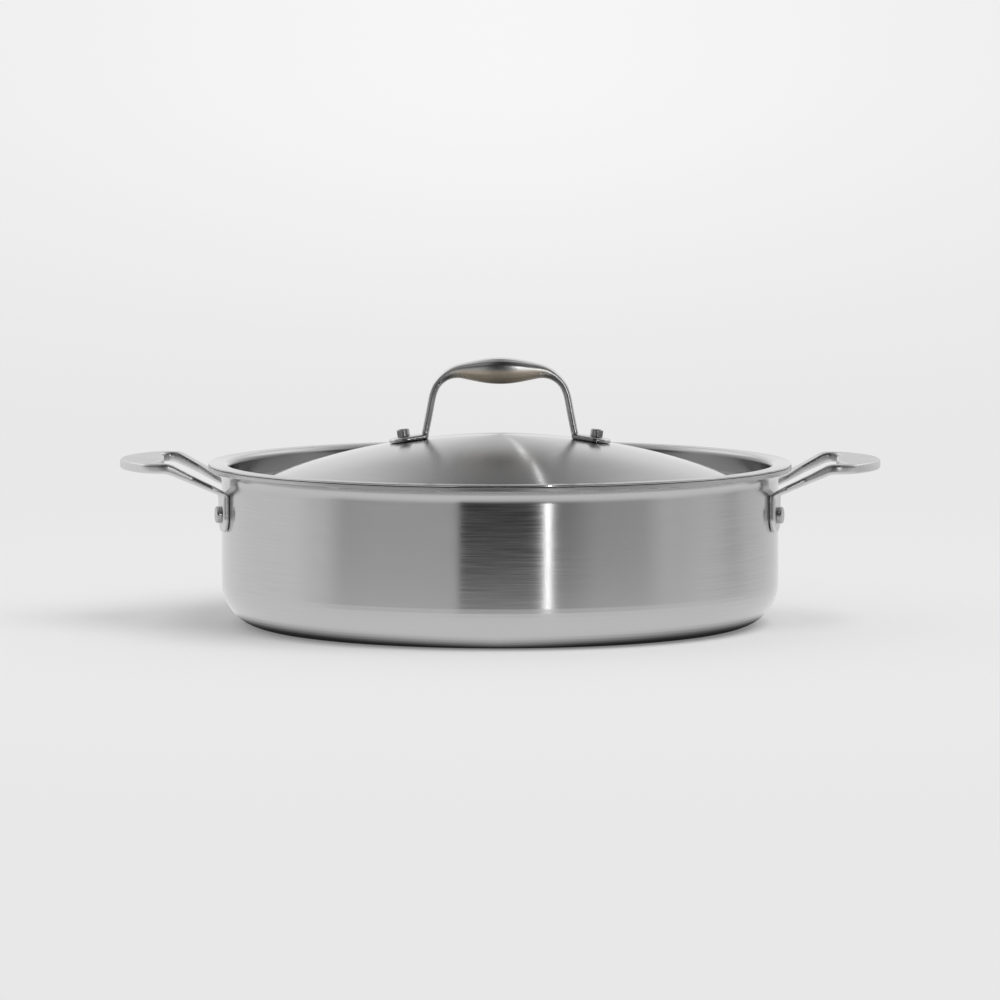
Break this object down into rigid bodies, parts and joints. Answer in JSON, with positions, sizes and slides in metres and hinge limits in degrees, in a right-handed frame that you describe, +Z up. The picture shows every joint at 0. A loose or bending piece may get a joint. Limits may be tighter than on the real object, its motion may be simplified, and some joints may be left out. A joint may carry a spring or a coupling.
{
  "type": "lidded braiser pan",
  "caption": "Wide low clad steel braiser with straight wall, flared lip, riveted loop handles and a domed lid with a riveted bow handle.",
  "frame": {"origin": "centre of the pan's flat base, on the surface that it stands on", "axes": "+Z up along the pan's axis, +X towards the right loop handle, +Y towards the back"},
  "size_m": [0.4164, 0.3192, 0.1457],
  "materials": {
    "outer_steel": "stainless steel brushed around the wall, satin",
    "aluminium_core": "bare aluminium, seen only at the cut edge of the lip",
    "inner_steel": "stainless steel with a fine satin finish",
    "cast_handle": "cast stainless steel, satin with softly polished edges",
    "rivet": "stainless steel, plain satin",
    "lid_steel": "stainless steel brushed in circles around the centre"
  },
  "bodies": {
    "pan": {"pan_outer_ply": "outer_steel", "pan_core": "aluminium_core", "pan_inner_ply": "inner_steel", "handle_left": "cast_handle", "handle_right": "cast_handle", "rivet_left_front": "rivet", "rivet_left_back": "rivet", "rivet_right_front": "rivet", "rivet_right_back": "rivet"},
    "lid": {"lid_shell": "lid_steel", "lid_handle": "cast_handle", "lid_rivet_left": "rivet", "lid_rivet_right": "rivet"}
  },
  "joints": [
    {"name": "lid_lift", "type": "slide", "parent": "pan", "child": "lid", "axis": [0, 0, 1], "range_m": [0, 0.1]}
  ]
}
